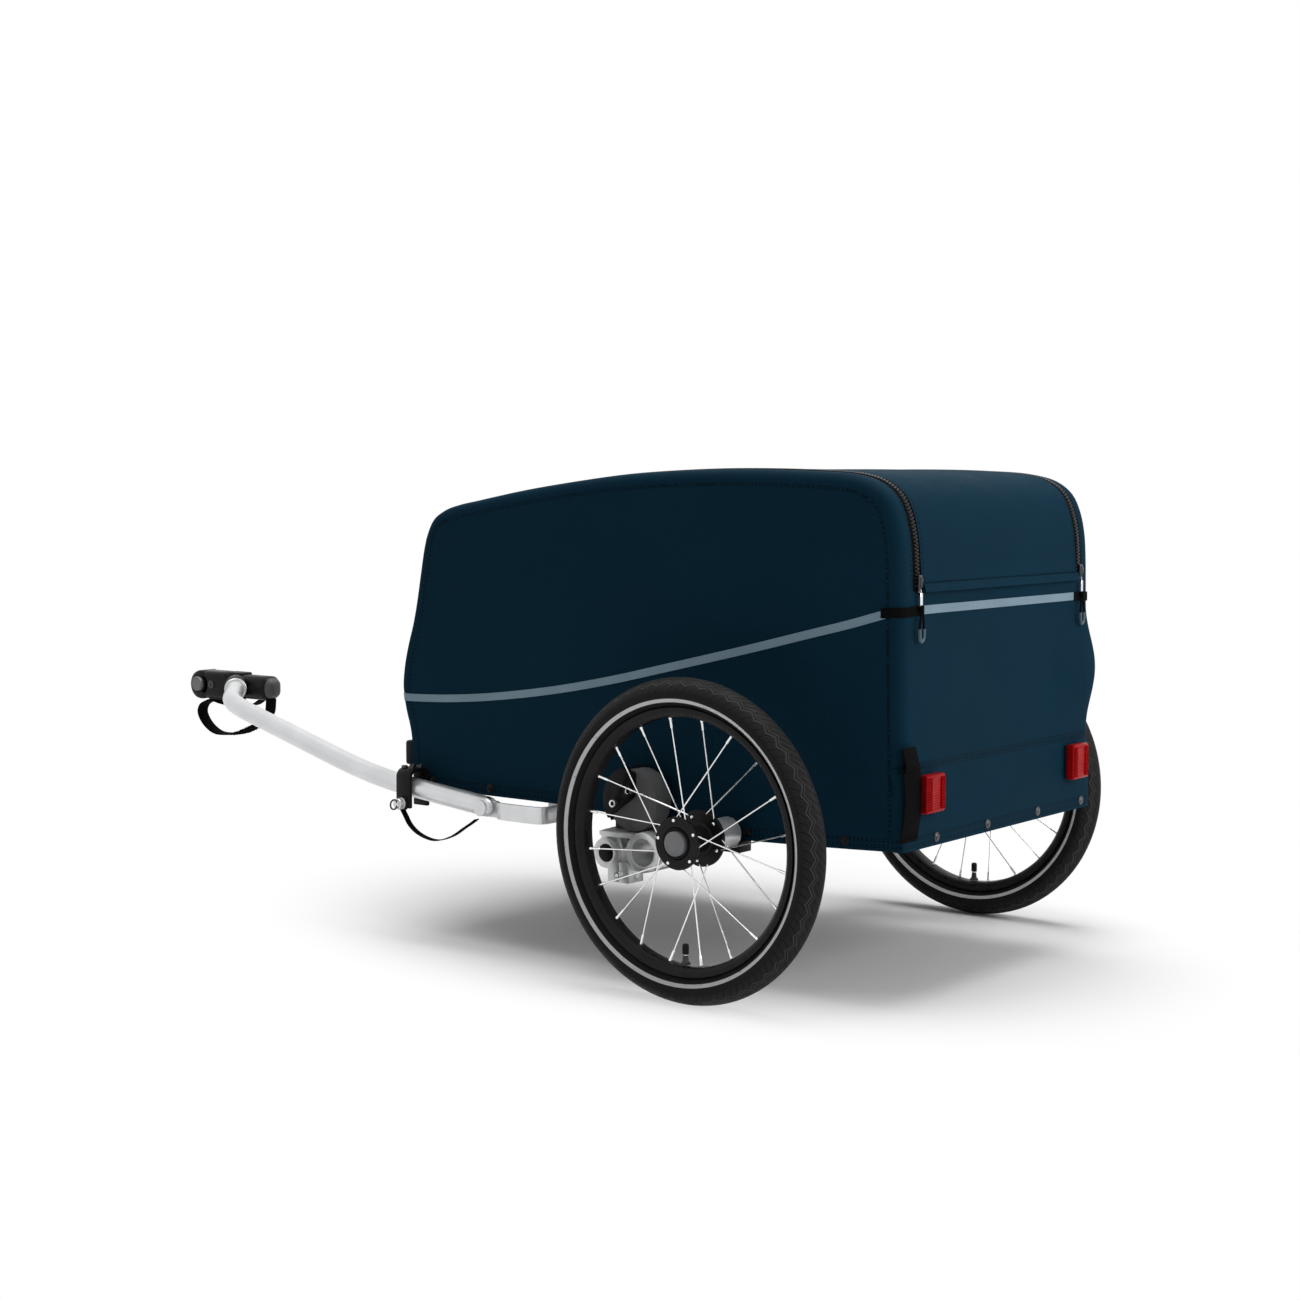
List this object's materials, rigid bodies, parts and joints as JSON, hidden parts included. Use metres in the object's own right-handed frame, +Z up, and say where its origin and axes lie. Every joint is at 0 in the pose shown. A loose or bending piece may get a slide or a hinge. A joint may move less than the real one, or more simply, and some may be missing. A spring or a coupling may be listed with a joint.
{
  "type": "cargo bike trailer",
  "caption": "Two-wheeled cargo trailer with a zipped fabric cover, sprung swing arms and a folding side drawbar that ends in a push-button hitch.",
  "frame": {"origin": "on the ground, below the middle of the trailer's outline as seen from above", "axes": "+X forwards along the drawbar, +Y to the trailer's left, +Z up"},
  "size_m": [1.3736, 0.7606, 0.651],
  "materials": {
    "tyre": "matt, with a fine herringbone tread",
    "black_metal": "satin black",
    "black_plastic": "fine grain",
    "grey_plastic": "satin",
    "pad_foam": "matt, finely pitted",
    "silver": "satin anodised",
    "steel": "polished",
    "navy_fabric": "coated plain weave",
    "black_webbing": "woven webbing",
    "red_lens": "faceted reflector",
    "tray_board": "coated board"
  },
  "bodies": {
    "chassis": {"side_rail_left": "silver", "side_rail_right": "silver", "rear_crossbar": "silver", "front_crossbar": "silver", "pivot_beam": "silver", "rear_beam": "black_metal", "floor_tray": "tray_board", "hoop_left": "silver", "hoop_right": "silver", "rear_bow": "silver", "front_bow": "silver", "cover_side_left": "navy_fabric", "cover_side_right": "navy_fabric", "cover_rear": "navy_fabric", "cover_front": "navy_fabric", "cover_band_left": "navy_fabric", "cover_band_right": "navy_fabric", "zip_left": "black_webbing", "zip_right": "black_webbing", "suspension_pad_left": "pad_foam", "suspension_pad_right": "pad_foam", "suspension_bracket_left": "black_metal", "suspension_bracket_right": "black_metal", "rear_reflector_left": "red_lens", "rear_reflector_right": "red_lens", "front_bumper_left": "black_plastic", "front_bumper_right": "black_plastic", "flag_strap": "black_webbing", "drawbar_pivot_pin": "steel", "drawbar_bracket": "silver", "drawbar_saddle": "black_plastic", "pin_tether": "black_webbing"},
    "lid": {"lid": "navy_fabric"},
    "zip_slider_left": {"zip_slider_left": "steel"},
    "zip_slider_right": {"zip_slider_right": "steel"},
    "zip_puller_left": {"zip_puller_left": "black_webbing"},
    "zip_puller_right": {"zip_puller_right": "black_webbing"},
    "swing_arm_left": {"swing_arm_left": "silver"},
    "swing_arm_right": {"swing_arm_right": "silver"},
    "axle_left": {"axle_left": "black_metal"},
    "axle_right": {"axle_right": "black_metal"},
    "axle_button_left": {"axle_button_left": "grey_plastic"},
    "axle_button_right": {"axle_button_right": "grey_plastic"},
    "wheel_left": {"tyre_left": "tyre", "rim_left": "black_metal", "inner_tube_valve_left": "black_plastic", "spoked_hub_left": "steel", "hub_bearing_left": "steel"},
    "wheel_right": {"tyre_right": "tyre", "rim_right": "black_metal", "inner_tube_valve_right": "black_plastic", "spoked_hub_right": "steel", "hub_bearing_right": "steel"},
    "drawbar": {"drawbar_tube": "silver", "hitch_housing": "black_plastic", "hitch_end_cap": "grey_plastic", "safety_strap": "black_webbing"},
    "lock_pin": {"lock_pin": "steel"},
    "hitch_button": {"hitch_button": "grey_plastic"},
    "key_lock": {"key_lock": "steel"}
  },
  "joints": [
    {"name": "suspension_left", "type": "hinge", "parent": "chassis", "child": "swing_arm_left", "pos_m": [-0.26821, 0.29, 0.162], "axis": [0, 1, 0], "range_deg": [0, 8], "stiffness_Nm_per_rad": 200, "springref_deg": -5.73, "deforming": ["suspension_pad_left"]},
    {"name": "suspension_right", "type": "hinge", "parent": "chassis", "child": "swing_arm_right", "pos_m": [-0.26821, -0.29, 0.162], "axis": [0, 1, 0], "range_deg": [0, 8], "stiffness_Nm_per_rad": 200, "springref_deg": -5.73, "deforming": ["suspension_pad_right"]},
    {"name": "wheel_release_left", "type": "slide", "parent": "swing_arm_left", "child": "axle_left", "axis": [0, 1, 0], "range_m": [0, 0.06]},
    {"name": "wheel_release_right", "type": "slide", "parent": "swing_arm_right", "child": "axle_right", "axis": [0, -1, 0], "range_m": [0, 0.06]},
    {"name": "release_button_left", "type": "slide", "parent": "axle_left", "child": "axle_button_left", "axis": [0, -1, 0], "range_m": [0, 0.003], "stiffness_N_per_m": 600, "springref_m": -0.003},
    {"name": "release_button_right", "type": "slide", "parent": "axle_right", "child": "axle_button_right", "axis": [0, 1, 0], "range_m": [0, 0.003], "stiffness_N_per_m": 600, "springref_m": -0.003},
    {"name": "wheel_spin_left", "type": "hinge", "parent": "axle_left", "child": "wheel_left", "pos_m": [-0.43321, 0.3563, 0.2], "axis": [0, 1, 0], "continuous": true},
    {"name": "wheel_spin_right", "type": "hinge", "parent": "axle_right", "child": "wheel_right", "pos_m": [-0.43321, -0.3563, 0.2], "axis": [0, 1, 0], "continuous": true},
    {"name": "drawbar_fold", "type": "hinge", "parent": "chassis", "child": "drawbar", "pos_m": [-0.04021, 0.275, 0.197], "axis": [0, 1, 0], "range_deg": [0, 105]},
    {"name": "lock_pin_pull", "type": "slide", "parent": "chassis", "child": "lock_pin", "axis": [0, 1, 0], "range_m": [0, 0.012]},
    {"name": "hitch_button_press", "type": "slide", "parent": "drawbar", "child": "hitch_button", "axis": [0, -1, 0], "range_m": [0, 0.004], "stiffness_N_per_m": 600, "springref_m": -0.003},
    {"name": "key_turn", "type": "hinge", "parent": "drawbar", "child": "key_lock", "pos_m": [0.63579, 0.168, 0.316], "axis": [0, 1, 0], "range_deg": [0, 90]},
    {"name": "lid_open", "type": "hinge", "parent": "chassis", "child": "lid", "pos_m": [0.00973, 0, 0.60905], "axis": [0, 1, 0], "range_deg": [0, 100]},
    {"name": "zip_slide_left", "type": "slide", "parent": "chassis", "child": "zip_slider_left", "axis": [0, 0, 1], "range_m": [0, 0.028]},
    {"name": "zip_slide_right", "type": "slide", "parent": "chassis", "child": "zip_slider_right", "axis": [0, 0, 1], "range_m": [0, 0.028]},
    {"name": "puller_swing_left", "type": "hinge", "parent": "zip_slider_left", "child": "zip_puller_left", "pos_m": [-0.67029, 0.20985, 0.50496], "axis": [0, 1, 0], "range_deg": [0, 90]},
    {"name": "puller_swing_right", "type": "hinge", "parent": "zip_slider_right", "child": "zip_puller_right", "pos_m": [-0.67029, -0.20985, 0.50496], "axis": [0, 1, 0], "range_deg": [0, 90]}
  ]
}
